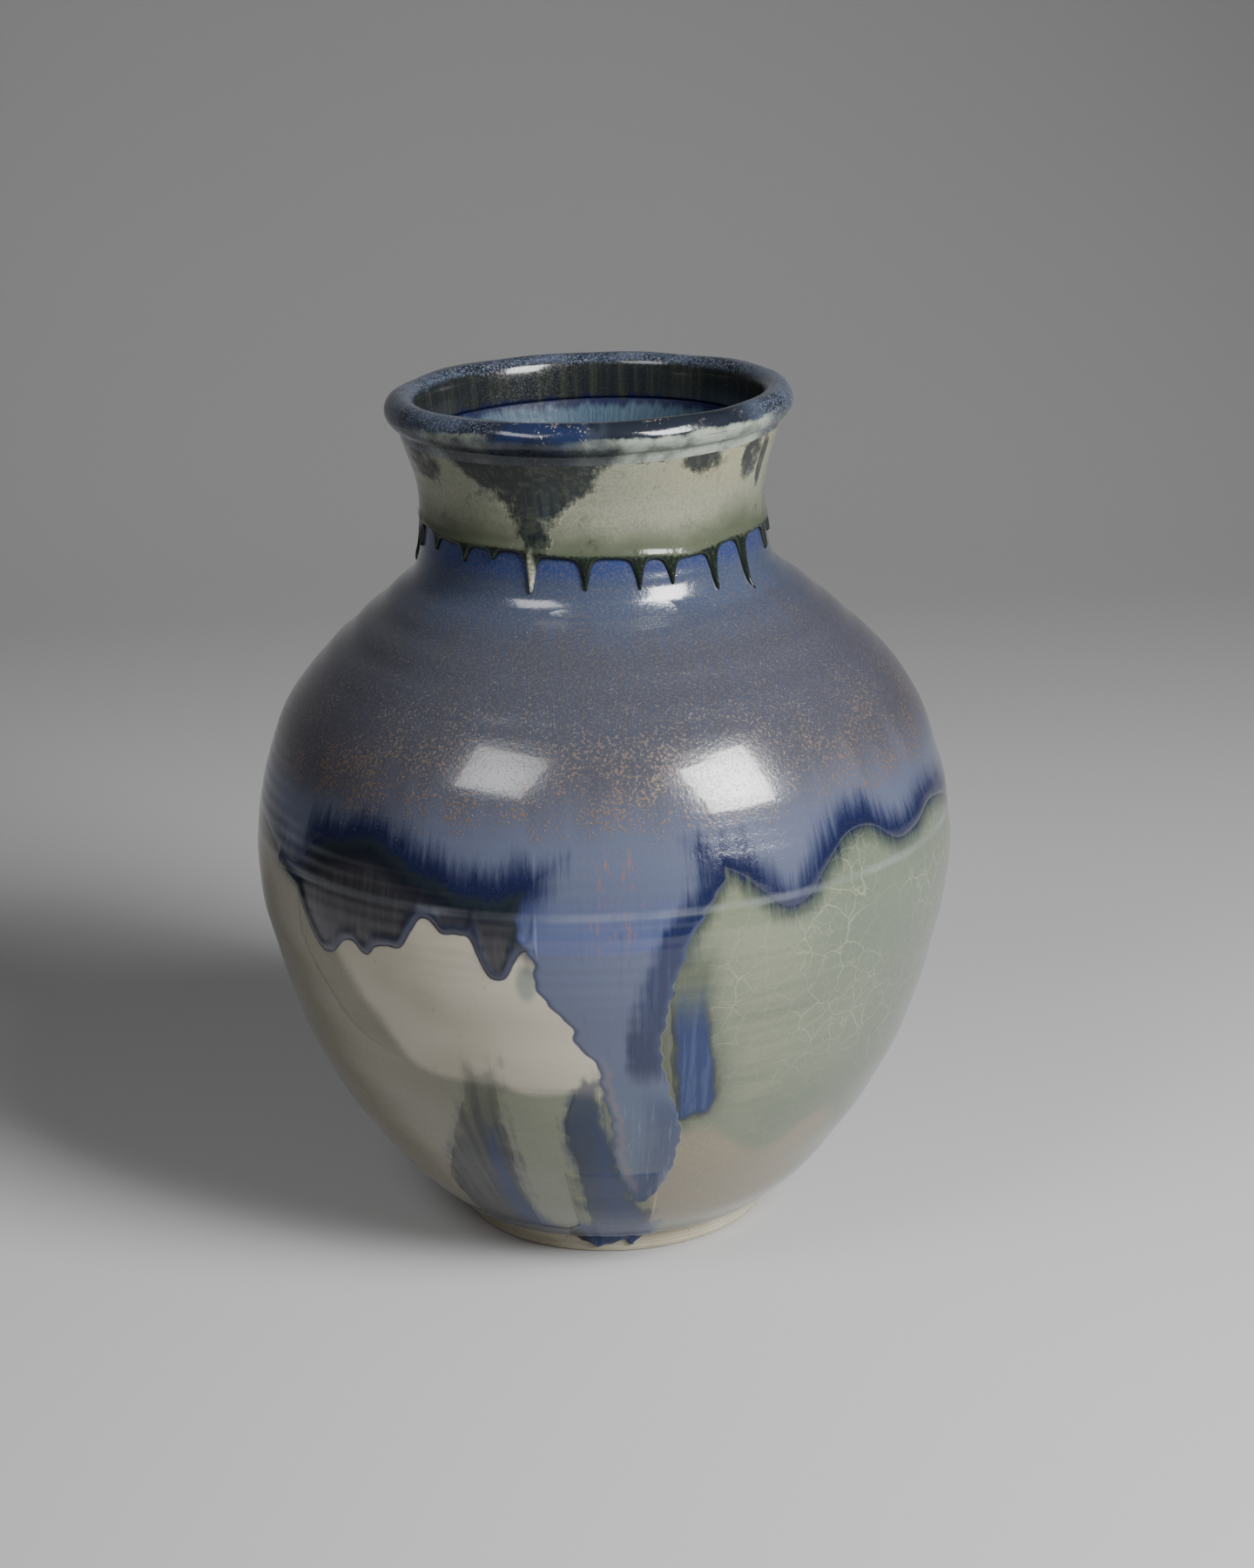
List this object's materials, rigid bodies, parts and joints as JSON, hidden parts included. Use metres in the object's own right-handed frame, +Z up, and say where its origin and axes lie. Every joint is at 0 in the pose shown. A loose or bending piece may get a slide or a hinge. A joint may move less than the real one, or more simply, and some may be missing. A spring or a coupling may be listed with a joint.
{
  "type": "stoneware vase",
  "caption": "Wheel-thrown stoneware bottle vase with a wide belly, short neck and rolled rim, under runny blue, celadon and cream glazes.",
  "frame": {"origin": "centre of the foot ring's resting face", "axes": "+Z up the axis of the wheel, -Y towards the front with the long tongue of blue glaze"},
  "size_m": [0.2302, 0.2311, 0.28],
  "materials": {
    "bare_stoneware": "bare matt fired stoneware with fine turning lines",
    "celadon_glaze": "glossy pale grey-green glaze with fine crazing",
    "cream_glaze": "satin cream glaze",
    "blue_glaze": "glossy streaked blue glaze, broken with tan speckle",
    "dark_glaze": "glossy blue-black glaze",
    "collar_glaze": "glossy pale cream-green glaze",
    "liner_glaze": "glossy streaked grey-olive and light blue liner glaze"
  },
  "bodies": {
    "root": {"foot_ring": "bare_stoneware", "floor_disc": "bare_stoneware", "lower_wall": "bare_stoneware", "upper_wall": "bare_stoneware", "neck_collar": "bare_stoneware", "rim_roll": "bare_stoneware", "inside_liner_coat": "liner_glaze", "mouth_band_coat": "liner_glaze", "celadon_coat": "celadon_glaze", "cream_patch": "cream_glaze", "blue_pour_coat": "blue_glaze", "front_tongue": "blue_glaze", "side_run": "blue_glaze", "low_run_left": "blue_glaze", "low_run_middle": "blue_glaze", "foot_pool": "blue_glaze", "ledge_pool": "dark_glaze", "overlap_band": "dark_glaze", "collar_coat": "collar_glaze", "rim_coat": "dark_glaze"}
  },
  "joints": []
}
